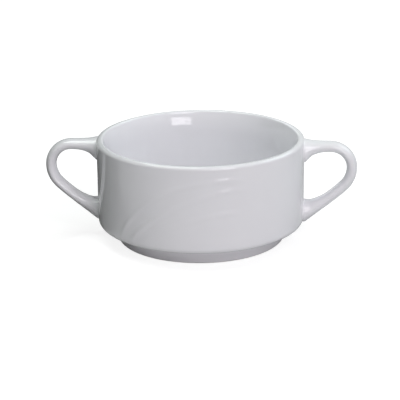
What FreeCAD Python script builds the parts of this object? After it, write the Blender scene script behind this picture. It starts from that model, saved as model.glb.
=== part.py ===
import FreeCAD, Part
import Sketcher
import math
import os

# Bouillon cup: a low straight-sided cup on a foot ring with two loop handles, one piece of porcelain.
# Millimetres, +Z up. The origin is on the cup's axis, on the plane that the foot ring stands on.
# The handles lie in the XZ plane. The outer ends of both are the cup's longest extent, along X.

NODE = "bouillon_cup"

# Driving dimensions: alias, value, what it is
DRIVING = [
    ("bodyRadius", 51.0, "outside of the straight wall"),
    ("cupHeight", 50.9, "foot to rim"),
    ("wallThickness", 5.4, "wall below the lip"),
    ("lipThickness", 2.9, "wall at the mouth, before its edges are rounded"),
    ("lipDepth", 12.0, "how far down from the rim the wall grows to its full thickness"),
    ("cornerRadius", 3.0, "outside, wall to ledge"),
    ("floorRadius", 11.0, "inside, wall to floor"),
    ("floorHeight", 9.5, "top of the floor inside"),
    ("stepHeight", 7.8, "ledge over the foot, which sits in the mouth of the cup below"),
    ("footRadius", 41.2, "outside of the foot ring at its seat"),
    ("footTaper", 0.7, "how much wider the foot is at the ledge"),
    ("footWidth", 4.0, "width of the foot ring"),
    ("recessDepth", 4.5, "hollow inside the foot ring"),
    ("rimOutside", 1.6, "rounding of the rim's outer edge"),
    ("rimInside", 1.2, "rounding of the rim's inner edge"),
    ("footRounding", 1.2, "rounding beside the seat"),
    ("ledgeRounding", 0.8, "hollow rounding between foot and ledge"),
    ("recessRounding", 1.5, "hollow rounding inside the foot ring"),
    ("handleOut", 23.4, "wall to the middle of the strap at its outer end"),
    ("handleDrop", 4.1, "rim down to the strap's middle along its level top run"),
    ("levelRun", 0.6, "plain level stretch between the upper root and the shoulder bend"),
    ("shoulderBend", 10.6, "bend from the top run to the outer end"),
    ("tipBend", 13.2, "bend from the outer end to the lower run"),
    ("runBend", 100.0, "long bend of the lower run"),
    ("rootRise", 4.6, "ledge up to the lower run's middle where it reaches the wall"),
    ("strapThick", 5.1, "strap, across the loop"),
    ("strapWide", 8.5, "strap, from side to side"),
    ("flareSeat", 0.6, "full flare is reached this far outside the wall"),
    ("upperFlareUnder", 5.3, "upper root, growth into the loop"),
    ("upperFlareOver", 1.0, "upper root, growth towards the rim"),
    ("lowerFlareOver", 3.6, "lower root, growth into the loop"),
    ("lowerFlareUnder", 1.7, "lower root, growth away from the loop"),
    ("flareWide", 1.3, "how much wider than tall the oval of a full root is"),
    ("ribHeight", 0.35, "how far a rib of the pressed relief stands proud of the wall"),
    ("ribRadius", 2.3, "rounding of a rib across its run"),
]

# Worked out from them: alias, expression, what it is
WORKED = [
    ("reach", "dims.bodyRadius + dims.handleOut", "axis to the middle of the strap at its outer end"),
    ("topHeight", "dims.cupHeight - dims.handleDrop", "middle of the level top run"),
    ("bendHeight", "topHeight - dims.shoulderBend", "level where the shoulder bend passes to the tip bend"),
    ("shoulderX", "reach - dims.shoulderBend", "middle of the shoulder bend"),
    ("tipX", "reach - dims.tipBend", "middle of the tip bend"),
    ("inward", "dims.handleOut - dims.tipBend", "middle of the tip bend, out from the wall"),
    ("fall", "bendHeight - dims.stepHeight - dims.rootRise", "and up from the lower run at the wall"),
    ("span", "sqrt(inward ^ 2 + fall ^ 2)", "between those two points"),
    ("bendGap", "dims.runBend - dims.tipBend", "between the middles of the tip bend and the run's bend"),
    ("tipTurn", "acos((span ^ 2 + bendGap ^ 2 - dims.runBend ^ 2) / (2 * span * bendGap))"
     " - atan2(fall; inward)", "how far the tip bend turns, so that the run meets the wall at its height"),
    ("runX", "tipX - bendGap * cos(tipTurn)", "middle of the run's bend, across"),
    ("runZ", "bendHeight + bendGap * sin(tipTurn)", "and up"),
    ("joinZ", "bendHeight - dims.tipBend * sin(tipTurn)", "level where the tip bend passes to the run"),
    ("flareEnd", "dims.bodyRadius + dims.flareSeat", "full flare, across"),
    ("flareStart", "shoulderX - dims.levelRun", "where the roots begin to flare, across"),
    ("rootEnd", "dims.bodyRadius - dims.cornerRadius", "inner end of a root, within the blank"),
]

# Flare of a root: share of the way from the strap to the wall, and share of its growth reached there
UPPER_FLARE = ((0.0, 0.0), (0.3, 0.055), (0.55, 0.2), (0.72, 0.385), (0.86, 0.68), (1.0, 1.0))
LOWER_FLARE = ((0.0, 0.0), (0.3, 0.13), (0.55, 0.32), (0.72, 0.5), (0.86, 0.74), (1.0, 1.0))

# Ribs of the relief. Each starts low on the left at an angle from the front and a height over the
# ledge, sweeps up to the right and ends at an angle and a depth below the rim. The power slows its rise.
RIBS = [
    (-46.5, 2.4, 30.0, 6.9, 3.1),
    (-39.0, 2.4, 30.0, 11.6, 2.1),
    (-31.5, 2.4, 27.0, 22.9, 2.2),
]
RIB_POINTS = 13
RIB_PIECES = 6       # a rib is swept in this many pieces, so that its outline on the wall is not one edge
RIB_FADE = 0.16      # share of a rib's sweep over which it sinks into the wall at each end


doc = FreeCAD.newDocument("BouillonCup")

sheet = doc.addObject("Spreadsheet::Sheet", "dims")
for row, (alias, value, meaning) in enumerate(DRIVING, start=1):
    sheet.set("A%d" % row, alias)
    sheet.set("B%d" % row, str(value))
    sheet.set("C%d" % row, meaning)
    sheet.setAlias("B%d" % row, alias)
doc.recompute()
worked = doc.addObject("Spreadsheet::Sheet", "worked")
for row, (alias, expression, meaning) in enumerate(WORKED, start=1):
    worked.set("A%d" % row, alias)
    worked.setAlias("B%d" % row, alias)
    worked.set("B%d" % row, "=" + expression)
    worked.set("C%d" % row, meaning)
doc.recompute()


def size(expression):
    """Value of an expression over the two sheets."""
    return float(sheet.evalExpression(expression))


def vec(across, up):
    return FreeCAD.Vector(across, up, 0)


def origin_plane(body, role):
    return next(f for f in body.Origin.OriginFeatures if f.Role == role)


def new_sketch(body, role, name):
    sketch = body.newObject("Sketcher::SketchObject", name)
    sketch.AttachmentSupport = [(origin_plane(body, role), "")]
    sketch.MapMode = "FlatFace"
    return sketch


def bind(sketch, name, constraint, expression):
    """Add a dimension to a sketch and tie it to the spreadsheet."""
    index = sketch.addConstraint(constraint)
    sketch.renameConstraint(index, name)
    sketch.setExpression("Constraints." + name, expression)


def place(sketch, name, geo, end, across=None, up=None):
    """Dimension a point of a sketch from the origin."""
    if across:
        bind(sketch, name + "Across",
             Sketcher.Constraint("DistanceX", -1, 1, geo, end, size(across)), across)
    if up:
        bind(sketch, name + "Up",
             Sketcher.Constraint("DistanceY", -1, 1, geo, end, size(up)), up)


def line(sketch, start, finish):
    return sketch.addGeometry(Part.LineSegment(vec(*start), vec(*finish)), False)


def arc(sketch, centre, radius, start_degrees, end_degrees):
    circle = Part.Circle(vec(*centre), FreeCAD.Vector(0, 0, 1), radius)
    return sketch.addGeometry(
        Part.ArcOfCircle(circle, math.radians(start_degrees), math.radians(end_degrees)), False)


def rule(sketch, *words):
    sketch.addConstraint(Sketcher.Constraint(*words))


body = doc.addObject("PartDesign::Body", "Cup")
body.Label = "plain_cup"

# Section of the turned blank, right of the axis: foot ring, ledge and wall, still solid inside
outer, height, wall = size("dims.bodyRadius"), size("dims.cupHeight"), size("dims.wallThickness")
corner, step, recess = size("dims.cornerRadius"), size("dims.stepHeight"), size("dims.recessDepth")
foot, ring, taper = size("dims.footRadius"), size("dims.footWidth"), size("dims.footTaper")

blank = new_sketch(body, "XZ_Plane", "BlankSection")
under = line(blank, (0, recess), (foot - ring, recess))
foot_in = line(blank, (foot - ring, recess), (foot - ring, 0))
seat = line(blank, (foot - ring, 0), (foot, 0))
foot_out = line(blank, (foot, 0), (foot + taper, step))
ledge = line(blank, (foot + taper, step), (outer - corner, step))
turn_out = arc(blank, (outer - corner, step + corner), corner, -90, 0)
wall_out = line(blank, (outer, step + corner), (outer, height))
mouth = line(blank, (outer, height), (0, height))
axis = line(blank, (0, height), (0, recess))

for first, second in ((under, foot_in), (foot_in, seat), (seat, foot_out), (foot_out, ledge),
                      (wall_out, mouth), (mouth, axis), (axis, under)):
    rule(blank, "Coincident", first, 2, second, 1)
rule(blank, "Tangent", ledge, 2, turn_out, 1)
rule(blank, "Tangent", turn_out, 2, wall_out, 1)
for level in (under, seat, ledge, mouth):
    rule(blank, "Horizontal", level)
for upright in (foot_in, wall_out):
    rule(blank, "Vertical", upright)
rule(blank, "PointOnObject", under, 1, -2)
rule(blank, "PointOnObject", mouth, 2, -2)
rule(blank, "PointOnObject", seat, 1, -1)
place(blank, "recess", under, 1, up="dims.recessDepth")
place(blank, "footInside", seat, 1, across="dims.footRadius - dims.footWidth")
place(blank, "footOutside", seat, 2, across="dims.footRadius")
place(blank, "ledge", ledge, 1, "dims.footRadius + dims.footTaper", "dims.stepHeight")
place(blank, "rim", mouth, 1, "dims.bodyRadius", "dims.cupHeight")
bind(blank, "corner", Sketcher.Constraint("Radius", turn_out, corner), "dims.cornerRadius")

turned = body.newObject("PartDesign::Revolution", "TurnedBlank")
turned.Profile = blank
turned.ReferenceAxis = (blank, ["V_Axis"])
turned.Angle = 360
doc.recompute()


def ring_edges(feature, radius, up):
    """Names of the full-circle edges of a feature with this radius at this height."""
    names = []
    for index, edge in enumerate(feature.Shape.Edges, start=1):
        curve = edge.Curve
        if isinstance(curve, Part.Circle) and abs(curve.Radius - radius) < 1e-4 \
                and abs(curve.Center.z - up) < 1e-4:
            names.append("Edge%d" % index)
    return names


def round_ring(base, name, radius, up, rounding):
    fillet = body.newObject("PartDesign::Fillet", name)
    fillet.Base = (base, ring_edges(base, size(radius), size(up)))
    fillet.setExpression("Radius", rounding)
    doc.recompute()
    return fillet


rounded = turned
for name, radius, up, rounding in (
        ("RimOutside", "dims.bodyRadius", "dims.cupHeight", "dims.rimOutside"),
        ("FootOutside", "dims.footRadius", "0", "dims.footRounding"),
        ("FootInside", "dims.footRadius - dims.footWidth", "0", "dims.footRounding"),
        ("LedgeHollow", "dims.footRadius + dims.footTaper", "dims.stepHeight", "dims.ledgeRounding"),
        ("RecessHollow", "dims.footRadius - dims.footWidth", "dims.recessDepth",
         "dims.recessRounding")):
    rounded = round_ring(rounded, name, radius, up, rounding)

# Handle: its strap runs level from the wall, round the shoulder and the tip, and back in a long bend
reach, bend_height = size("worked.reach"), size("worked.bendHeight")
shoulder, tip, run = size("dims.shoulderBend"), size("dims.tipBend"), size("dims.runBend")
turn = size("worked.tipTurn")


def run_height(across):
    """Height of the lower run's middle line at a distance from the cup's axis."""
    return "(worked.runZ - sqrt(dims.runBend ^ 2 - (%s - worked.runX) ^ 2))" % across


def run_slope(across):
    """Degrees that the lower run rises outwards at a distance from the cup's axis."""
    return "asin((%s - worked.runX) / dims.runBend)" % across


path = new_sketch(body, "XZ_Plane", "StrapPath")
start_x, run_x, run_z = size("worked.flareStart"), size("worked.runX"), size("worked.runZ")
top_run = line(path, (start_x, bend_height + shoulder), (reach - shoulder, bend_height + shoulder))
shoulder_bend = arc(path, (reach - shoulder, bend_height), shoulder, 0, 90)
tip_bend = arc(path, (reach - tip, bend_height), tip, -turn, 0)
lower_run = arc(path, (run_x, run_z), run, size(run_slope("worked.flareStart")) - 90, -turn)
rule(path, "Horizontal", top_run)
rule(path, "Tangent", top_run, 2, shoulder_bend, 2)
rule(path, "Tangent", shoulder_bend, 1, tip_bend, 2)
rule(path, "Coincident", tip_bend, 1, lower_run, 2)
place(path, "topStart", top_run, 1, "worked.flareStart", "worked.topHeight")
place(path, "outerEnd", shoulder_bend, 1, "worked.reach", "worked.bendHeight")
place(path, "join", tip_bend, 1, up="worked.joinZ")
place(path, "runMiddle", lower_run, 3, "worked.runX", "worked.runZ")
place(path, "lowerEnd", lower_run, 1, across="worked.flareStart")
bind(path, "shoulder", Sketcher.Constraint("Radius", shoulder_bend, shoulder), "dims.shoulderBend")
bind(path, "tip", Sketcher.Constraint("Radius", tip_bend, tip), "dims.tipBend")


def oval_section(name, across, up, tilt, skew, growth, over, below):
    """Oval section of the strap on a plane whose normal rises outwards by the tilt.

    The plane stands askew to the strap's run by the skew. The growth is the share of the root's
    flare that is reached there: it grows the oval above, below and to both sides.
    """
    thick = "(dims.strapThick / cos(%s) + %.4f * (%s + %s))" % (skew, growth, over, below)
    wide = "(%s + %.4f * (dims.strapWide - dims.strapThick) + %.4f * dims.flareWide)" % (
        thick, 1 - growth, growth)
    middle = "%s + %.4f * (%s - %s)" % (up, growth / 2, over, below)
    sketch = new_sketch(body, "YZ_Plane", name)
    sketch.AttachmentOffset = FreeCAD.Placement(
        FreeCAD.Vector(0, size(middle), size(across)),
        FreeCAD.Rotation(FreeCAD.Vector(1, 0, 0), -size(tilt)))
    sketch.setExpression("AttachmentOffset.Base.y", middle)
    sketch.setExpression("AttachmentOffset.Base.z", across)
    sketch.setExpression("AttachmentOffset.Rotation.Angle", "-" + tilt)
    half_wide, half_thick = size(wide) / 2, size(thick) / 2
    oval = sketch.addGeometry(Part.Ellipse(vec(half_wide, 0), vec(0, half_thick), vec(0, 0)), False)
    sketch.exposeInternalGeometry(oval)
    long_axis, short_axis = oval + 1, oval + 2
    rule(sketch, "Coincident", oval, 3, -1, 1)
    rule(sketch, "Horizontal", long_axis)
    bind(sketch, "wide", Sketcher.Constraint("Distance", long_axis, 2 * half_wide), wide)
    bind(sketch, "thick", Sketcher.Constraint("Distance", short_axis, 2 * half_thick), thick)
    return sketch


def flared_root(name, flare, height, slope, over, below):
    """Sections of a root, from the strap's plain oval to the full flare and level into the cup."""
    sections = []
    for number, (share, growth) in enumerate(flare):
        across = "(worked.flareStart + %.3f * (worked.flareEnd - worked.flareStart))" % share
        tilt = "(%.3f * %s)" % (1 - share, slope("worked.flareStart"))
        skew = "(%s - %s)" % (slope(across), tilt)
        sections.append(oval_section("%sSection%d" % (name, number), across, height(across),
                                     tilt, skew, growth, over, below))
    sections.append(oval_section(name + "InCup", "worked.rootEnd", height("worked.flareEnd"), "(0 deg)",
                                 slope("worked.flareEnd"), flare[-1][1], over, below))
    loft = body.newObject("PartDesign::AdditiveLoft", name)
    loft.Profile = sections[0]
    loft.Sections = [(section, [""]) for section in sections[1:]]
    return loft, sections[0]


upper_root, strap_oval = flared_root(
    "UpperRoot", UPPER_FLARE, lambda across: "worked.topHeight", lambda across: "(0 deg)",
    "dims.upperFlareOver", "dims.upperFlareUnder")
doc.recompute()

strap = body.newObject("PartDesign::AdditivePipe", "Strap")
strap.Profile = strap_oval
strap.Spine = (path, ["Edge%d" % (number + 1) for number in range(path.GeometryCount)])
doc.recompute()

lower_root, lower_oval = flared_root("LowerRoot", LOWER_FLARE, run_height, run_slope,
                                     "dims.lowerFlareOver", "dims.lowerFlareUnder")
doc.recompute()

# The other handle is the same again across the axis
other = body.newObject("PartDesign::Mirrored", "OtherHandle")
other.Originals = [upper_root, strap, lower_root]
other.MirrorPlane = (origin_plane(body, "YZ_Plane"), [""])
body.Tip = other
doc.recompute()

# The inside is hollowed last, so that it trims the roots flush with the inner wall.
# Below the rim its wall leans in along an arc that ends tangent to the straight wall.
floor, hollow = size("dims.floorHeight"), size("dims.floorRadius")
lip, lip_depth = size("dims.lipThickness"), size("dims.lipDepth")
thinning = wall - lip
lip_radius = (lip_depth ** 2 + thinning ** 2) / (2 * thinning)
lip_angle = math.degrees(math.asin(lip_depth / lip_radius))
inside = new_sketch(body, "XZ_Plane", "InsideSection")
floor_top = line(inside, (0, floor), (outer - wall - hollow, floor))
turn_in = arc(inside, (outer - wall - hollow, floor + hollow), hollow, -90, 0)
wall_in = line(inside, (outer - wall, floor + hollow), (outer - wall, height - lip_depth))
lip_in = arc(inside, (outer - wall + lip_radius, height - lip_depth), lip_radius, 180 - lip_angle, 180)
opening = line(inside, (outer - lip, height), (0, height))
middle = line(inside, (0, height), (0, floor))
for first, second in ((opening, middle), (middle, floor_top)):
    rule(inside, "Coincident", first, 2, second, 1)
rule(inside, "Coincident", lip_in, 1, opening, 1)
rule(inside, "Tangent", floor_top, 2, turn_in, 1)
rule(inside, "Tangent", turn_in, 2, wall_in, 1)
rule(inside, "Tangent", wall_in, 2, lip_in, 2)
rule(inside, "Horizontal", floor_top)
rule(inside, "Vertical", wall_in)
rule(inside, "Horizontal", opening)
rule(inside, "PointOnObject", opening, 2, -2)
rule(inside, "PointOnObject", floor_top, 1, -2)
place(inside, "rim", opening, 1, "dims.bodyRadius - dims.lipThickness", "dims.cupHeight")
place(inside, "lip", wall_in, 2, "dims.bodyRadius - dims.wallThickness", "dims.cupHeight - dims.lipDepth")
place(inside, "floor", floor_top, 1, up="dims.floorHeight")
bind(inside, "hollow", Sketcher.Constraint("Radius", turn_in, hollow), "dims.floorRadius")

solid_volume = other.Shape.Volume
hollowed = body.newObject("PartDesign::Groove", "Inside")
hollowed.Profile = inside
hollowed.ReferenceAxis = (inside, ["V_Axis"])
hollowed.Angle = 360
doc.recompute()
if hollowed.Shape.Volume > solid_volume - 1:
    raise RuntimeError("the inside was not cut")
round_ring(hollowed, "RimInside", "dims.bodyRadius - dims.lipThickness", "dims.cupHeight",
           "dims.rimInside")

# Pressed relief: ribs that stand a little proud of the wall and sink into it at both ends.
# The front has one fan of them, and the back has the same fan turned half a circle about the axis.
rib_radius, rib_height = size("dims.ribRadius"), size("dims.ribHeight")


def wall_radius(up):
    """Outside of the cup at a height, with its corner over the ledge."""
    below = max(0.0, step + corner - up)
    return outer - corner + math.sqrt(corner ** 2 - below ** 2)


def rib_spine(from_angle, rise, to_angle, drop, power):
    """Middle line of a rib's round section."""
    points = []
    start, end = step + rise, height - drop
    for number in range(RIB_POINTS):
        share = number / (RIB_POINTS - 1)
        angle = math.radians(from_angle + share * (to_angle - from_angle))
        up = end - (end - start) * (1 - share) ** power
        edge = min(1.0, share / RIB_FADE, (1 - share) / RIB_FADE)
        sink = 2 * rib_height * (1 - edge) ** 2
        across = wall_radius(up) + rib_height - rib_radius - sink
        points.append(FreeCAD.Vector(across * math.sin(angle), -across * math.cos(angle), up))
    spline = Part.BSplineCurve()
    spline.interpolate(points)
    return spline


ribs = []
for number, values in enumerate(RIBS, start=1):
    spine = rib_spine(*values)
    ring = Part.Circle(spine.value(spine.FirstParameter), spine.tangent(spine.FirstParameter)[0],
                       rib_radius)
    first, last = spine.FirstParameter, spine.LastParameter
    cuts = [first + (last - first) * piece / RIB_PIECES for piece in range(RIB_PIECES + 1)]
    run = Part.Wire([spine.toShape(begin, end) for begin, end in zip(cuts, cuts[1:])])
    tube = run.makePipeShell([Part.Wire([ring.toShape()])], True, False)
    for side, turned_by in (("Front", 0), ("Back", 180)):
        rib = doc.addObject("Part::Feature", "%sRib%d" % (side, number))
        rib.Shape = tube
        rib.Placement = FreeCAD.Placement(FreeCAD.Vector(), FreeCAD.Vector(0, 0, 1), turned_by)
        ribs.append(rib)
cup = doc.addObject("Part::MultiFuse", "CupWithRelief")
cup.Shapes = [body] + ribs
cup.Label = NODE
doc.recompute()

# Nothing is written unless every object and the solid are sound
for obj in doc.Objects:
    if "Invalid" in obj.State or "Error" in obj.State:
        raise RuntimeError("%s failed: %s" % (obj.Name, obj.getStatusString()))
    if obj.isDerivedFrom("Sketcher::SketchObject") and not obj.FullyConstrained:
        raise RuntimeError(obj.Name + " is not fully constrained")
if cup.Shape.isNull() or not cup.Shape.isValid() or len(cup.Shape.Solids) != 1:
    raise RuntimeError("the cup is not one valid solid")

os.makedirs("parts", exist_ok=True)
cup.Shape.exportStep("parts/%s.step" % cup.Label)
print("volume %.0f mm3, holds %.0f ml" % (cup.Shape.Volume, (solid_volume - hollowed.Shape.Volume) / 1000))
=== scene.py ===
import math

import bmesh
import bpy
import numpy as np
from mathutils import Matrix, Vector


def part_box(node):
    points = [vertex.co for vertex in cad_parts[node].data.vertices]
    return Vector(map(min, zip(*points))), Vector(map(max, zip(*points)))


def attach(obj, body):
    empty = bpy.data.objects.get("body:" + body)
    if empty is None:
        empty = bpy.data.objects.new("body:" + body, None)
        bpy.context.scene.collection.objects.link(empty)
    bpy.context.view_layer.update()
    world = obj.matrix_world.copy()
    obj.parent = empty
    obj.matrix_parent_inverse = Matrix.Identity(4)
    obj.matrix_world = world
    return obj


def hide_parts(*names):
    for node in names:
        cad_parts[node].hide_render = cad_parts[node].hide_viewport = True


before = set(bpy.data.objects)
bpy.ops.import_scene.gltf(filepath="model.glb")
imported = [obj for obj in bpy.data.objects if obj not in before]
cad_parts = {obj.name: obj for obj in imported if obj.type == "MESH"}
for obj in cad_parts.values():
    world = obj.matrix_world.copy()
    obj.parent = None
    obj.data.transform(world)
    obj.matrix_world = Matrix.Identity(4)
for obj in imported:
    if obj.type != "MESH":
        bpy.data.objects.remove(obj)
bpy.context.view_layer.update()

mm = 0.001                             # everything below is worked out in millimetres
tiny = 1e-6
nodeName = "bouillon_cup"
nodeHigh = np.array(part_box(nodeName)[1]) / mm
print("frame loaded, cup reaches", nodeHigh.round(2), "mm")

# the turned cup: foot ring, ledge, and a straight wall that thins towards the rim inside
cadRibHeight = 0.35                    # the CAD ribs reach the box, and the wall's face lies under them
cup = {
    "radius": nodeHigh[1] - cadRibHeight,
    "height": nodeHigh[2],
    "wall": 5.4,                       # wall below the lip
    "lipWall": 2.9,                    # wall at the mouth, before its edges are rounded
    "lipDepth": 12.0,                  # how far down the thinning reaches
    "cornerRadius": 3.0,               # outside, wall to ledge
    "stepHeight": 7.8,
    "footRadius": 41.2,
    "footTaper": 0.7,
    "footWidth": 4.0,
    "recess": 4.5,
    "floorHeight": 9.5,
    "floorRadius": 11.0,               # inside, wall to floor
    "rimOutside": 1.6,
    "rimInside": 1.2,
    "footRounding": 1.2,
    "ledgeRounding": 0.8,
    "recessRounding": 1.5,
    "bareHeight": 0.45,                # the ground seat is bare up to here
    "columns": 448,
    "crowding": 0.16,                  # draws the columns to the front and back, where the relief is
    "arcStep": 12.0,                   # degrees for one row of a rounding
    "wallStep": 0.6,                   # height of one row of the outer wall
    "lipStep": 1.2,
    "plainStep": 4.0,
    "fineness": 12,                    # the outline is worked out this much finer than the rows
}


def arcOf(centre, arm, turn, steps):
    angles = turn * np.arange(1, steps + 1) / steps
    return [centre + (arm[0] * math.cos(a) - arm[1] * math.sin(a),
                      arm[0] * math.sin(a) + arm[1] * math.cos(a)) for a in angles]


def turnedOutline():
    c, split = cup, cup["fineness"]
    ring, inner = c["footRadius"] - c["footWidth"], c["radius"] - c["wall"]
    thinning = c["wall"] - c["lipWall"]
    lipRadius = (c["lipDepth"] ** 2 + thinning ** 2) / (2 * thinning)
    lipSteps = round(c["lipDepth"] / c["lipStep"])
    corners = [                        # across, up, rounding, step of the run that leads here
        (0, c["recess"], 0, 0),
        (ring, c["recess"], c["recessRounding"], c["plainStep"]),
        (ring, 0, c["footRounding"], c["plainStep"]),
        (c["footRadius"], 0, c["footRounding"], c["plainStep"]),
        (c["footRadius"] + c["footTaper"], c["stepHeight"], c["ledgeRounding"], c["plainStep"]),
        (c["radius"], c["stepHeight"], c["cornerRadius"], c["wallStep"] * 2),
        (c["radius"], c["height"], c["rimOutside"], c["wallStep"]),
        (c["radius"] - c["lipWall"], c["height"], c["rimInside"], c["wallStep"]),
    ]
    for k in range(1, lipSteps + 1):   # the thinning is one long arc, tangent to the wall
        depth = c["lipDepth"] * k / lipSteps
        fall = lipRadius - math.sqrt(lipRadius ** 2 - (c["lipDepth"] - depth) ** 2)
        corners.append((inner + fall, c["height"] - depth, 0, c["lipStep"] * 2))
    corners += [(inner, c["floorHeight"], c["floorRadius"], c["plainStep"]),
                (0, c["floorHeight"], 0, c["plainStep"])]
    points = [np.array(corners[0][:2], float)]
    for k in range(1, len(corners)):
        here, before = (np.array(corners[i][:2], float) for i in (k, k - 1))
        rounding, step = corners[k][2:]
        start = here
        if rounding:
            back = (before - here) / np.linalg.norm(before - here)
            ahead = np.array(corners[k + 1][:2], float) - here
            ahead /= np.linalg.norm(ahead)
            half = math.acos(np.clip(back @ ahead, -1, 1)) / 2
            start = here + back * rounding / math.tan(half)
            centre = here + (back + ahead) / np.linalg.norm(back + ahead) * rounding / math.sin(half)
        run = start - points[-1]
        steps = max(1, round(np.linalg.norm(run) / step)) * split
        points += [points[-1] + run * (i + 1) / steps for i in range(steps)]
        if rounding:
            turn = (math.pi - 2 * half) * np.sign(ahead[0] * back[1] - ahead[1] * back[0])
            arcSteps = max(2, round(math.degrees(abs(turn)) / c["arcStep"])) * split
            points += arcOf(centre, start - centre, turn, arcSteps)
    return np.array(points)


outline = turnedOutline()
along = np.concatenate([[0], np.cumsum(np.linalg.norm(np.diff(outline, axis=0), axis=1))])
rows = outline[::cup["fineness"]]
rowsAlong = along[::cup["fineness"]]
turns = 2 * math.pi * np.arange(cup["columns"]) / cup["columns"]
columnAngles = turns + cup["crowding"] * np.sin(2 * turns)

# the outer face, from the ledge to the top of the rim, where height alone says where a point is
ledgeEnd = int(np.argmax(outline[:, 0] > cup["radius"] - cup["cornerRadius"] + tiny))
rimTop = int(np.argmax(outline[:, 1] > cup["height"] - tiny))
outerFace = slice(ledgeEnd, rimTop + 1)


def onOutline(angle, length):
    across = np.interp(length, along, outline[:, 0])
    return np.stack([across * np.cos(angle), across * np.sin(angle),
                     np.interp(length, along, outline[:, 1])], axis=-1)


print("outline:", len(rows), "rows,", cup["columns"], "columns")

# the strap handle, in its own plane: across from the axis and up
handle = {
    "thick": 5.1,
    "wide": 8.5,
    "clear": 0.002,                    # it stays this far inside the CAD box
    "top": 46.8,
    "shoulderBend": 10.6,
    "tipBend": 13.2,
    "runBend": 100.0,                  # long bend of the lower run
    "runAtWall": 12.4,                 # height at which its middle would reach the wall
    "flareLength": 11.6,               # from the full flare back to the plain strap
    "flareSeat": 0.6,                  # the flare is full from here to the wall
    "flareShares": (0, 0.3, 0.55, 0.72, 0.86, 1),
    "upperFlare": (0, 0.055, 0.2, 0.385, 0.68, 1),      # growth reached at those shares of the way
    "lowerFlare": (0, 0.13, 0.32, 0.5, 0.74, 1),
    "upperOver": 1.0,                  # how far the full flare grows over and under the strap
    "upperUnder": 5.3,
    "lowerOver": 3.6,
    "lowerUnder": 1.7,
    "flareWide": 1.3,                  # a full flare is this much wider than thick
    "filletOnWall": 0.5,               # reach of the glazed hollow round a root
    "filletOnStrap": 0.4,
    "holeHalf": 10,                    # columns of the wall that make way on each side of a root
    "upperHole": 35.8,                 # and from this height to the top of the rim
    "ringsOnWall": 3,
    "ringsInFillet": 5,
    "seatSteps": 2,                    # from the hollow to the full flare
    "flareSteps": 18,
    "bendStep": 5.0,                   # degrees for one ring of a bend
}
# from the axis to the strap's middle at its outer end
handle["reach"] = nodeHigh[0] - handle["thick"] / 2 - handle["clear"]


def growthAt(share, flare):
    # a smooth curve through the given points
    at, slopes = handle["flareShares"], np.gradient(flare, handle["flareShares"])
    k = min(int(np.searchsorted(at, share, side="right")), len(at) - 1) - 1
    step = at[k + 1] - at[k]
    t = (share - at[k]) / step
    return (flare[k] * (1 + 2 * t) * (1 - t) ** 2 + slopes[k] * step * t * (1 - t) ** 2
            + flare[k + 1] * t * t * (3 - 2 * t) + slopes[k + 1] * step * t * t * (t - 1))


def lowerRunMiddle():
    # the tip bend turns so far that the run, tangent to it, meets the wall at its height
    h = handle
    inward = h["reach"] - h["tipBend"] - cup["radius"]
    fall = h["top"] - h["shoulderBend"] - h["runAtWall"]
    gap, span = h["runBend"] - h["tipBend"], math.hypot(inward, fall)
    corner = math.acos((span ** 2 + gap ** 2 - h["runBend"] ** 2) / (2 * span * gap))
    turn = corner - math.atan2(fall, inward)
    return (h["reach"] - h["tipBend"] - gap * math.cos(turn),
            h["top"] - h["shoulderBend"] + gap * math.sin(turn), turn)


runX, runZ, tipTurn = lowerRunMiddle()


def lowerHeight(x):
    return runZ - math.sqrt(handle["runBend"] ** 2 - (x - runX) ** 2)


def lowerSlope(x):
    return math.asin((x - runX) / handle["runBend"])


def rootSection(x, upper):
    # centre, direction out of the loop, half thickness and half width of the strap near a root
    h = handle
    share = min(1, max(0, (cup["radius"] + h["flareSeat"] + h["flareLength"] - x) / h["flareLength"]))
    growth = growthAt(share, h["upperFlare"] if upper else h["lowerFlare"])
    slope = 0 if upper else lowerSlope(cup["radius"] + h["flareSeat"] + h["flareLength"])
    outerGrowth, innerGrowth = h["lowerUnder"], h["lowerOver"]
    if upper:
        outerGrowth, innerGrowth = h["upperOver"], h["upperUnder"]
    tilt = (1 - share) * slope
    seatX = cup["radius"] + h["flareSeat"]
    skew = 0 if upper else lowerSlope(max(x, seatX)) - tilt
    thick = h["thick"] / math.cos(skew) + growth * (outerGrowth + innerGrowth)
    wide = thick + (1 - growth) * (h["wide"] - h["thick"]) + growth * h["flareWide"]
    height = h["top"] if upper else lowerHeight(max(x, seatX))
    outward = np.array([0, 1.0]) if upper else np.array([math.sin(tilt), -math.cos(tilt)])
    centre = np.array([x, height]) + outward * (outerGrowth - innerGrowth) / 2 * growth
    return centre, outward, thick / 2, wide / 2


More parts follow.
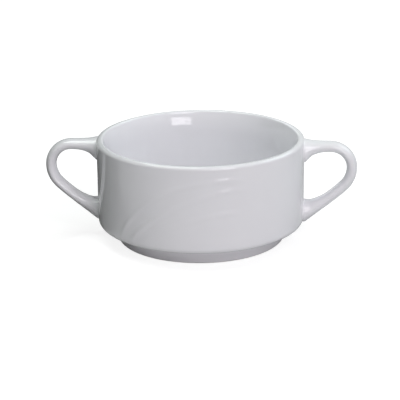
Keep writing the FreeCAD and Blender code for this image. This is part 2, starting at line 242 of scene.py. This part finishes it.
def strapSections():
    # from the upper root round the loop to the lower root
    h = handle
    seatX = cup["radius"] + h["flareSeat"]
    flareX = np.linspace(seatX, seatX + h["flareLength"], h["flareSteps"] + 1)
    sections = [rootSection(x, True) for x in flareX]
    half = (h["thick"] / 2, h["wide"] / 2)
    bendHeight = h["top"] - h["shoulderBend"]
    for centreX, radius, first, last in (
            (h["reach"] - h["shoulderBend"], h["shoulderBend"], 90, 0),
            (h["reach"] - h["tipBend"], h["tipBend"], 0, -math.degrees(tipTurn))):
        steps = round(abs(last - first) / h["bendStep"])
        for k in range(0 if first else 1, steps + 1):
            angle = math.radians(first + (last - first) * k / steps)
            outward = np.array([math.cos(angle), math.sin(angle)])
            sections.append((np.array([centreX, bendHeight]) + outward * radius, outward) + half)
    runEnd = sections[-1][0][0]
    runSteps = round((runEnd - flareX[-1]) / (flareX[1] - flareX[0]))
    for k in range(1, runSteps):
        x = runEnd + (flareX[-1] - runEnd) * k / runSteps
        slope = lowerSlope(x)
        sections.append((np.array([x, lowerHeight(x)]),
                         np.array([math.sin(slope), -math.cos(slope)])) + half)
    return sections + [rootSection(x, False) for x in flareX[::-1]]


def ovalPoints(section, angles):
    centre, outward, halfThick, halfWide = section
    out = halfThick * np.sin(angles)
    return np.stack([centre[0] + outward[0] * out, halfWide * np.cos(angles),
                     centre[1] + outward[1] * out], axis=-1)


def rimOfHole(topRow, rowCount):
    # row and column of each vertex round a hole in the wall, counted from the +Y side upwards
    h, half = handle, handle["holeHalf"]
    low = topRow - rowCount
    middle = (low + topRow) // 2
    path = [(r, half) for r in range(middle, topRow)]
    path += [(topRow, c) for c in range(half, -half, -1)]
    path += [(r, -half) for r in range(topRow, low, -1)]
    path += [(low, c) for c in range(-half, half)]
    path += [(r, half) for r in range(low, middle)]
    return path


def rootRings(rim, upper):
    # rings from the hole's edge over the wall, through the hollow and out to the flare's full end
    h = handle
    seatX = cup["radius"] + h["flareSeat"]
    section = rootSection(seatX, upper)
    centre, outward, halfThick, halfWide = section
    face = outline[outerFace]
    edge = np.array([(columnAngles[c % cup["columns"]] - (2 * math.pi if c < 0 else 0),
                      rowsAlong[r]) for r, c in rim])
    middle = np.interp(centre[1], face[:, 1], along[outerFace])
    angles = np.unwrap(np.arctan2((edge[:, 1] - middle) * outward[1] / halfThick,
                                  edge[:, 0] * cup["radius"] / halfWide))
    out = halfThick * np.sin(angles) * outward[1]
    y, z = halfWide * np.cos(angles), centre[1] + out
    x = np.sqrt(np.interp(z, face[:, 1], face[:, 0]) ** 2 - y ** 2)
    meet = np.stack([x, y, z], axis=-1)
    onFace = np.interp(z, face[:, 1], along[outerFace])
    flat = np.stack([np.arctan2(y, x) * cup["radius"], onFace], axis=-1)
    tangent = np.roll(flat, -1, axis=0) - np.roll(flat, 1, axis=0)
    side = 1 if upper else -1
    normal = np.stack([tangent[:, 1], -tangent[:, 0]], axis=-1) * side
    normal /= np.linalg.norm(normal, axis=1)[:, None]
    hollow = flat + normal * h["filletOnWall"]
    rings = []
    edge[:, 0] *= cup["radius"]
    for k in range(1, h["ringsOnWall"] + 1):
        spot = edge + (hollow - edge) * k / h["ringsOnWall"]
        rings.append(onOutline(spot[:, 0] / cup["radius"], spot[:, 1]))
    foot = rings[-1]
    onStrap = meet + (h["filletOnStrap"], 0, 0)
    for k in range(1, h["ringsInFillet"] + 1):
        t = k / h["ringsInFillet"]
        rings.append(foot * (1 - t) ** 2 + meet * 2 * t * (1 - t) + onStrap * t ** 2)
    full = ovalPoints(section, angles)
    for k in range(1, h["seatSteps"]):
        rings.append(onStrap + (full - onStrap) * k / h["seatSteps"])
    return rings, angles


def wallHoles():
    # top row and number of rows of the openings for the upper (True) and lower (False) roots
    onWall = rows[:, 0] > cup["radius"] - tiny
    topRow = int(np.argmax(rows[:, 1] > cup["height"] - tiny))
    count = topRow - int(np.argmax((rows[:, 1] > handle["upperHole"]) & onWall))
    onLedge = rows[:, 0] > cup["footRadius"] + cup["footTaper"] + cup["ledgeRounding"]
    return {True: (topRow, count), False: (int(np.argmax(onLedge)) + count, count)}


def addTurnedCup(bm, holes):
    # the turned cup with its openings, and a way to find a vertex by row and column
    columns, half, lastRow = cup["columns"], handle["holeHalf"], len(rows) - 1
    grid = {}

    def vertexAt(r, c):
        key = (r, 0) if r in (0, lastRow) else (r, c % columns)
        if key not in grid:
            grid[key] = bm.verts.new(onOutline(columnAngles[key[1]], rowsAlong[r]) * mm)
        return grid[key]

    def opened(r, c):
        return any(top - count <= r < top and (c - around + half) % columns < 2 * half
                   for top, count in holes.values() for around in (0, columns // 2))

    for r in range(lastRow):
        for c in range(columns):
            if not opened(r, c):
                face = [vertexAt(r, c), vertexAt(r, c + 1), vertexAt(r + 1, c + 1), vertexAt(r + 1, c)]
                bm.faces.new(dict.fromkeys(face))           # on the axis two of the corners are one
    return vertexAt


def addStraps(bm, holes, vertexAt):
    # each strap is a chain of rings from its upper opening round the loop to its lower one
    rims = {upper: rimOfHole(*holes[upper]) for upper in holes}
    rims[False] = rims[False][:1] + rims[False][:0:-1]      # the lower rim runs the other way round
    rings, ends = {}, {}
    for upper in rims:
        rings[upper], ends[upper] = rootRings(rims[upper], upper)
    sections = strapSections()
    shares = np.linspace(0, 1, len(sections))
    loops = rings[True] + [ovalPoints(s, ends[True] * (1 - t) + ends[False] * t)
                           for s, t in zip(sections, shares)] + rings[False][::-1]
    for side in (1, -1):
        first, last = ([vertexAt(r, c if side == 1 else cup["columns"] // 2 - c) for r, c in rims[upper]]
                       for upper in (True, False))
        between = [[bm.verts.new(Vector(p * (side, 1, 1)) * mm) for p in loop] for loop in loops]
        chain = [first] + between + [last]
        for near, far in zip(chain, chain[1:]):
            for k in range(len(near)):
                bm.faces.new((near[k], near[k - 1], far[k - 1], far[k]))


def cupMesh():
    # one closed shell of the turned cup and its two straps
    bm = bmesh.new()
    holes = wallHoles()
    vertexAt = addTurnedCup(bm, holes)
    addStraps(bm, holes, vertexAt)
    bmesh.ops.recalc_face_normals(bm, faces=bm.faces)
    if bm.calc_volume(signed=True) < 0:
        bmesh.ops.reverse_faces(bm, faces=bm.faces)
    mesh = bpy.data.meshes.new("bouillonCup")
    bm.to_mesh(mesh)
    bm.free()
    mesh.polygons.foreach_set("use_smooth", [True] * len(mesh.polygons))
    return mesh


# the pressed relief: three swept ribs that fan out over the front, and again over the back
relief = {
    "Rib Height": 0.45,                # low on the left, where it rises
    "Rib Width": 2.3,                  # from the crest to where the rib has run out
    "Middle Share": 0.35,              # of that height, over the middle of the sweep
    "End Share": 0.7,
    "Fade In": 0.10,                   # shares of a rib's sweep over which it rises and dies away
    "Fade Out": 0.16,
    "Sink From": 0.25,                 # shares of the sweep between which it sinks to the middle
    "Sink To": 0.5,
    "Swell From": 0.68,                # and those between which it swells again
    "Swell To": 0.8,
    "Skin": 2.5,                       # what lies deeper than this under the wall's face stays
    "ribs": [
        (-46.5, 10.2, 30.0, 44.0, 3.1, 1.0),
        (-39.0, 10.2, 30.0, 39.3, 2.1, 1.25),
        (-31.5, 10.2, 27.0, 28.0, 2.2, 0.4),
    ],
}

# what a rib's values are: degrees from the front and mm up at each end, how its climb bows, and its
# share of the height at first
ribNames = ["From Angle", "From Height", "To Angle", "To Height", "Bow", "Strength"]
mathNode, mapNode = "ShaderNodeMath", "ShaderNodeMapRange"


def node(tree, kind, inputs=(), **settings):
    # inputs come by name or in the node's own order, and a node stands for its first output
    named = inputs if isinstance(inputs, dict) else dict(enumerate(inputs))
    made = tree.nodes.new(kind)
    for name, value in settings.items():
        setattr(made, name, value)
    for name, value in named.items():
        if isinstance(value, bpy.types.Node):
            value = value.outputs[0]
        if isinstance(value, bpy.types.NodeSocket):
            tree.links.new(value, made.inputs[name])
        else:
            made.inputs[name].default_value = value
    return made


def ribLift(tree, angle, height, rib, given):
    # share of the rib height by which one swept rib lifts the surface at an angle and a height
    fromAngle, fromHeight, toAngle, toHeight, bow, strength = rib
    sweep = node(tree, mathNode, (toAngle, fromAngle), operation="SUBTRACT")
    passed = node(tree, mathNode, (angle, fromAngle), operation="SUBTRACT")
    share = node(tree, mathNode, (passed, sweep), operation="DIVIDE", use_clamp=True)
    rest = node(tree, mathNode, (1.0, share), operation="SUBTRACT")

    # the crest climbs along a power curve
    rise = node(tree, mathNode, (toHeight, fromHeight), operation="SUBTRACT")
    below = node(tree, mathNode, (rest, bow), operation="POWER")
    below = node(tree, mathNode, (rise, below), operation="MULTIPLY")
    crest = node(tree, mathNode, (toHeight, below), operation="SUBTRACT")

    # the curve's slope turns the height over the crest into the distance from it
    steep = node(tree, mathNode, (bow, 1.0), operation="SUBTRACT")
    steep = node(tree, mathNode, (rest, steep), operation="POWER")
    slope = node(tree, mathNode, (rise, bow), operation="MULTIPLY")
    slope = node(tree, mathNode, (slope, steep), operation="MULTIPLY")
    run = node(tree, mathNode, (sweep, given["Wall Radius"]), operation="MULTIPLY")
    run = node(tree, mathNode, (run,), operation="RADIANS")
    slope = node(tree, mathNode, (slope, run), operation="DIVIDE")
    lean = node(tree, mathNode, (slope, slope, 1.0), operation="MULTIPLY_ADD")
    lean = node(tree, mathNode, (lean,), operation="SQRT")
    off = node(tree, mathNode, (height, crest), operation="SUBTRACT")
    off = node(tree, mathNode, (off, lean), operation="DIVIDE")
    off = node(tree, mathNode, (off,), operation="ABSOLUTE")
    off = node(tree, mathNode, (off, given["Rib Width"]), operation="DIVIDE", use_clamp=True)

    # across the rib the lift is a cosine wave from crest to trough
    bump = node(tree, mathNode, (off, math.pi), operation="MULTIPLY")
    bump = node(tree, mathNode, (bump,), operation="COSINE")
    bump = node(tree, mathNode, (bump, 0.5, 0.5), operation="MULTIPLY_ADD")

    # along the rib it fades in, sinks, swells and fades out
    fadeIn = node(tree, mapNode, {"Value": share, "From Max": given["Fade In"]},
                  interpolation_type="SMOOTHSTEP")
    fadeOut = node(tree, mapNode, {"Value": rest, "From Max": given["Fade Out"]},
                   interpolation_type="SMOOTHSTEP")
    sink = node(tree, mapNode, {"Value": share, "From Min": given["Sink From"],
                                "From Max": given["Sink To"], "To Min": strength,
                                "To Max": given["Middle Share"]}, interpolation_type="SMOOTHSTEP")
    swell = node(tree, mapNode, {"Value": share, "From Min": given["Swell From"],
                                 "From Max": given["Swell To"], "To Max": given["End Share"]},
                 interpolation_type="SMOOTHSTEP")
    strong = node(tree, mathNode, (sink, swell), operation="MAXIMUM")
    for factor in (strong, fadeIn, fadeOut):
        bump = node(tree, mathNode, (bump, factor), operation="MULTIPLY")
    return bump


def reliefValues():
    values = {name: value for name, value in relief.items() if name != "ribs"}
    values.update({"Wall Radius": cup["radius"], "Bare Height": cup["bareHeight"]})
    for k, rib in enumerate(relief["ribs"]):
        values.update({"Rib %d %s" % (k + 1, name): value for name, value in zip(ribNames, rib)})
    return values


def reliefTree(glaze, bare):
    tree = bpy.data.node_groups.new("pressedRelief", "GeometryNodeTree")
    tree.interface.new_socket("Geometry", in_out="INPUT", socket_type="NodeSocketGeometry")
    tree.interface.new_socket("Geometry", in_out="OUTPUT", socket_type="NodeSocketGeometry")
    for name in reliefValues():
        tree.interface.new_socket(name, in_out="INPUT", socket_type="NodeSocketFloat")
    given = node(tree, "NodeGroupInput").outputs
    place = node(tree, "ShaderNodeSeparateXYZ", (node(tree, "GeometryNodeInputPosition"),))
    x, y, z = (node(tree, mathNode, (axis, mm), operation="DIVIDE") for axis in place.outputs)

    # the back repeats the front, turned half a circle
    facing = node(tree, mathNode, (y, 0.0), operation="LESS_THAN")
    facing = node(tree, mathNode, (facing, 2.0, -1.0), operation="MULTIPLY_ADD")
    aside = node(tree, mathNode, (x, facing), operation="MULTIPLY")
    ahead = node(tree, mathNode, (y,), operation="ABSOLUTE")
    angle = node(tree, mathNode, (aside, ahead), operation="ARCTAN2")
    angle = node(tree, mathNode, (angle,), operation="DEGREES")
    lift = 0.0
    for k in range(len(relief["ribs"])):
        rib = [given["Rib %d %s" % (k + 1, name)] for name in ribNames]
        lift = node(tree, mathNode, (lift, ribLift(tree, angle, z, rib, given)), operation="MAXIMUM")

    # only the outer face of the wall is lifted
    across = node(tree, mathNode, (y, y), operation="MULTIPLY")
    across = node(tree, mathNode, (x, x, across), operation="MULTIPLY_ADD")
    across = node(tree, mathNode, (across,), operation="SQRT")
    inside = node(tree, mathNode, (given["Wall Radius"], given["Skin"]), operation="SUBTRACT")
    outside = node(tree, mathNode, (across, inside), operation="GREATER_THAN")
    for factor in (outside, given["Rib Height"], mm):
        lift = node(tree, mathNode, (lift, factor), operation="MULTIPLY")
    offset = node(tree, "ShaderNodeVectorMath",
                  {0: node(tree, "GeometryNodeInputNormal"), "Scale": lift}, operation="SCALE")
    shape = node(tree, "GeometryNodeSetPosition", {"Geometry": given["Geometry"], "Offset": offset})
    shape = node(tree, "GeometryNodeRealizeInstances", (shape,))
    shape = node(tree, "GeometryNodeSetMaterial", {"Geometry": shape, "Material": glaze})
    seat = node(tree, mathNode, (z, given["Bare Height"]), operation="LESS_THAN")
    shape = node(tree, "GeometryNodeSetMaterial", {"Geometry": shape, "Material": bare, "Selection": seat})
    node(tree, "NodeGroupOutput", (shape,))
    return tree


# materials

def toLinear(hexColour):
    channels = [int(hexColour[i:i + 2], 16) / 255 for i in (1, 3, 5)]
    return tuple(c / 12.92 if c <= 0.04045 else ((c + 0.055) / 1.055) ** 2.4 for c in channels) + (1,)


def newMaterial(name):
    material = bpy.data.materials.new(name)
    material.use_nodes = True
    material.node_tree.nodes.clear()
    return material, material.node_tree


def glazedPorcelain():
    # clear glaze over hard white porcelain: cool white, mirror-smooth with a faint orange peel
    material, tree = newMaterial("glazedPorcelain")
    place = node(tree, "ShaderNodeTexCoord").outputs["Object"]
    cloud = node(tree, "ShaderNodeTexNoise", {"Vector": place, "Scale": 1 / (30 * mm), "Detail": 2.0})
    tint = node(tree, "ShaderNodeMix", {"Factor": cloud.outputs["Fac"], "A": toLinear("#EFEEF1"),
                                        "B": toLinear("#EBEAEE")}, data_type="RGBA")
    peel = node(tree, "ShaderNodeTexNoise", {"Vector": place, "Scale": 1 / (4 * mm), "Detail": 1.0})
    bump = node(tree, "ShaderNodeBump", {"Height": peel.outputs["Fac"], "Strength": 0.15,
                                         "Distance": 0.04 * mm})
    shine = node(tree, mapNode, {"Value": cloud.outputs["Fac"], "To Min": 0.05, "To Max": 0.09})
    surface = node(tree, "ShaderNodeBsdfPrincipled", {
        "Base Color": tint.outputs["Result"], "Roughness": shine, "IOR": 1.52, "Normal": bump})
    node(tree, "ShaderNodeOutputMaterial", (surface,))
    return material


def groundPorcelain():
    # bare porcelain, ground flat on the seat: matt and slightly warm, with a fine grit
    material, tree = newMaterial("groundPorcelain")
    place = node(tree, "ShaderNodeTexCoord").outputs["Object"]
    grit = node(tree, "ShaderNodeTexNoise", {"Vector": place, "Scale": 1 / (0.6 * mm), "Detail": 3.0})
    tint = node(tree, "ShaderNodeMix", {"Factor": grit.outputs["Fac"], "A": toLinear("#DAD8D3"),
                                        "B": toLinear("#CFCCC6")}, data_type="RGBA")
    bump = node(tree, "ShaderNodeBump", {"Height": grit.outputs["Fac"], "Strength": 0.4,
                                         "Distance": 0.08 * mm})
    surface = node(tree, "ShaderNodeBsdfPrincipled", {
        "Base Color": tint.outputs["Result"], "Roughness": 0.75, "IOR": 1.5, "Normal": bump})
    node(tree, "ShaderNodeOutputMaterial", (surface,))
    return material


def newObject(name, data):
    made = bpy.data.objects.new(name, data)
    bpy.context.scene.collection.objects.link(made)
    return made


def cupBody():
    # the relief's tree runs once over the plain shell, and what comes out is the piece
    blank = newObject("cupBlank", cupMesh())
    modifier = blank.modifiers.new("relief", "NODES")
    modifier.node_group = reliefTree(glazedPorcelain(), groundPorcelain())
    values = reliefValues()
    for item in modifier.node_group.interface.items_tree:
        if item.item_type == "SOCKET" and item.in_out == "INPUT" and item.name in values:
            modifier[item.identifier] = float(values[item.name])
    ready = blank.evaluated_get(bpy.context.evaluated_depsgraph_get())
    finished = bpy.data.meshes.new_from_object(ready)
    blank.modifiers.remove(modifier)
    bpy.data.objects.remove(blank)
    return newObject("cupBody", finished)


piece = cupBody()
print("cup made:", len(piece.data.vertices), "vertices,",
      sum(len(face.vertices) - 2 for face in piece.data.polygons), "triangles")

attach(piece, "root")
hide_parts(nodeName)

# studio
studio = {
    "cameraTarget": (-0.51, 18.19),    # to the camera's right and up
    "cameraAzimuth": 4.46,
    "cameraElevation": 18.64,
    "cameraRoll": -0.65,
    "cameraDistance": 800.0,
    "lens": 144.77,
    "sensor": 36.0,
    "clip": (50.0, 20000.0),
    "floorSize": 6000.0,
    "floorCamera": 0.84,               # part of the floor's white that is given, the rest is lit
    "cardFacing": 50.4,                # degrees from the back towards the left
    "cardNear": 44.0,                  # it lies from here, seen from the axis, to where it stands
    "cardFar": 103.0,
    "cardAlong": (-110.0, 40.0),
    "cardLift": 0.2,                   # over the floor
    "cardHeight": 150.0,
    "ambient": 0.03,                   # light of the room on the cup, where the camera sees white
    "mirrored": 0.6,                   # of that white in the gloss, so that the pale rim keeps its edge
    "lampAim": 25.0,                   # height on the axis that the lamps face
    "lamps": [                         # name, azimuth, elevation, distance, width, height, watts, colour
        ("windowWide", 31.8, 11.5, 1600, 480, 500, 4.2, "#FFFBFF"),
        ("windowNarrow", 18.6, 11.5, 1600, 160, 500, 1.4, "#FFFBFF"),
        ("lowStrip", 22, 2.2, 1600, 1200, 100, 1.0, "#FFFBFF"),
        ("highBox", 28, 42, 1600, 750, 650, 7.6, "#FFFBFF"),
        ("topLeftBox", -100, 75, 1400, 800, 800, 9.8, "#F6FFF8"),
        ("backLeftBox", -150, 28, 1500, 800, 800, 4.0, "#F4F6FF"),
        ("backRightBox", 120, 40, 1500, 800, 800, 6.2, "#EFFCFF"),
    ],
}


def direction(azimuth, elevation):
    # degrees round from the front towards the right, and up
    a, e = math.radians(azimuth), math.radians(elevation)
    return Vector((math.sin(a) * math.cos(e), -math.cos(a) * math.cos(e), math.sin(e)))


def photoCamera():
    s = studio
    back = direction(s["cameraAzimuth"], s["cameraElevation"])
    right = direction(s["cameraAzimuth"] + 90, 0)
    up, roll = back.cross(right), math.radians(s["cameraRoll"])
    turnedRight = right * math.cos(roll) + up * math.sin(roll)
    turnedUp = up * math.cos(roll) - right * math.sin(roll)
    target = right * s["cameraTarget"][0] + Vector((0, 0, s["cameraTarget"][1]))
    data = bpy.data.cameras.new("photoCamera")
    data.lens, data.sensor_width = s["lens"], s["sensor"]
    data.clip_start, data.clip_end = (reach * mm for reach in s["clip"])
    camera = newObject("photoCamera", data)
    camera.location = (target + back * s["cameraDistance"]) * mm
    camera.rotation_mode = "QUATERNION"
    camera.rotation_quaternion = Matrix((turnedRight, turnedUp, back)).transposed().to_quaternion()
    bpy.context.scene.camera = camera


def softbox(name, azimuth, elevation, distance, width, height, watts, colour):
    data = bpy.data.lights.new(name, "AREA")
    data.shape, data.size, data.size_y = "RECTANGLE", width * mm, height * mm
    data.energy, data.color = watts, toLinear(colour)[:3]
    lamp = newObject(name, data)
    back = direction(azimuth, elevation)
    lamp.location = (Vector((0, 0, studio["lampAim"])) + back * distance) * mm
    lamp.rotation_mode = "QUATERNION"
    lamp.rotation_quaternion = (-back).to_track_quat("-Z", "Y")


def plainMesh(name, corners, faces, material):
    mesh = bpy.data.meshes.new(name)
    mesh.from_pydata([Vector(corner) * mm for corner in corners], [], faces)
    mesh.materials.append(material)
    return mesh


def paleFloor():
    # given and lit white add up to white for the camera, less in the cup's shadow, and all else that
    # the floor lights or that mirrors it meets a plain pale floor
    material, tree = newMaterial("paleFloor")
    ray = node(tree, "ShaderNodeLightPath")
    seen = node(tree, mathNode, (ray.outputs["Is Camera Ray"], ray.outputs["Is Transmission Ray"]),
                operation="MAXIMUM")
    lit = node(tree, "ShaderNodeBsdfDiffuse", {"Color": toLinear("#C8C8C8")})
    dim = node(tree, "ShaderNodeBsdfDiffuse", {"Color": toLinear("#959595")})
    given = node(tree, "ShaderNodeEmission", {"Color": toLinear("#FFFFFF"),
                                              "Strength": studio["floorCamera"]})
    both = node(tree, "ShaderNodeAddShader", (dim, given))
    mix = node(tree, "ShaderNodeMixShader", (seen, lit, both))
    node(tree, "ShaderNodeOutputMaterial", (mix,))
    half = studio["floorSize"] / 2
    corners = [(-half, -half, 0), (half, -half, 0), (half, half, 0), (-half, half, 0)]
    floor = newObject("floor", plainMesh("floor", corners, [(0, 1, 2, 3)], material))


def blackCard():
    # lies and stands at the back left, out of the camera's sight, where the photo's glaze mirrors the dark
    s = studio
    material, tree = newMaterial("blackCard")
    surface = node(tree, "ShaderNodeBsdfDiffuse", {"Color": toLinear("#35312D")})
    node(tree, "ShaderNodeOutputMaterial", (surface,))
    away, beside = direction(180 + s["cardFacing"], 0), direction(90 + s["cardFacing"], 0)
    corners = []
    for reach, height in ((s["cardNear"], s["cardLift"]), (s["cardFar"], s["cardLift"]),
                          (s["cardFar"], s["cardHeight"])):
        corners += [away * reach + beside * end + Vector((0, 0, height)) for end in s["cardAlong"]]
    card = newObject("blackCard", plainMesh("blackCard", corners, [(0, 1, 3, 2), (2, 3, 5, 4)], material))
    card.visible_camera = card.visible_shadow = False


def studioWorld():
    # white where the camera looks past the cup, pale in its gloss, and next to no light on it
    world = bpy.data.worlds.new("studio")
    bpy.context.scene.world = world
    world.use_nodes = True
    tree = world.node_tree
    tree.nodes.clear()
    ray = node(tree, "ShaderNodeLightPath")
    seen = node(tree, mathNode, (ray.outputs["Is Camera Ray"], ray.outputs["Is Transmission Ray"]),
                operation="MAXIMUM")
    dim, pale, white = (
        node(tree, "ShaderNodeBackground", {"Color": toLinear("#FFFFFF"), "Strength": strength})
        for strength in (studio["ambient"], studio["mirrored"], 1.0))
    mix = node(tree, "ShaderNodeMixShader", (ray.outputs["Is Glossy Ray"], dim, pale))
    mix = node(tree, "ShaderNodeMixShader", (seen, mix, white))
    node(tree, "ShaderNodeOutputWorld", (mix,))


photoCamera()
paleFloor()
blackCard()
studioWorld()
for lamp in studio["lamps"]:
    softbox(*lamp)
bpy.context.scene.view_settings.view_transform = "Standard"
print("studio set up with", len(studio["lamps"]), "lamps")
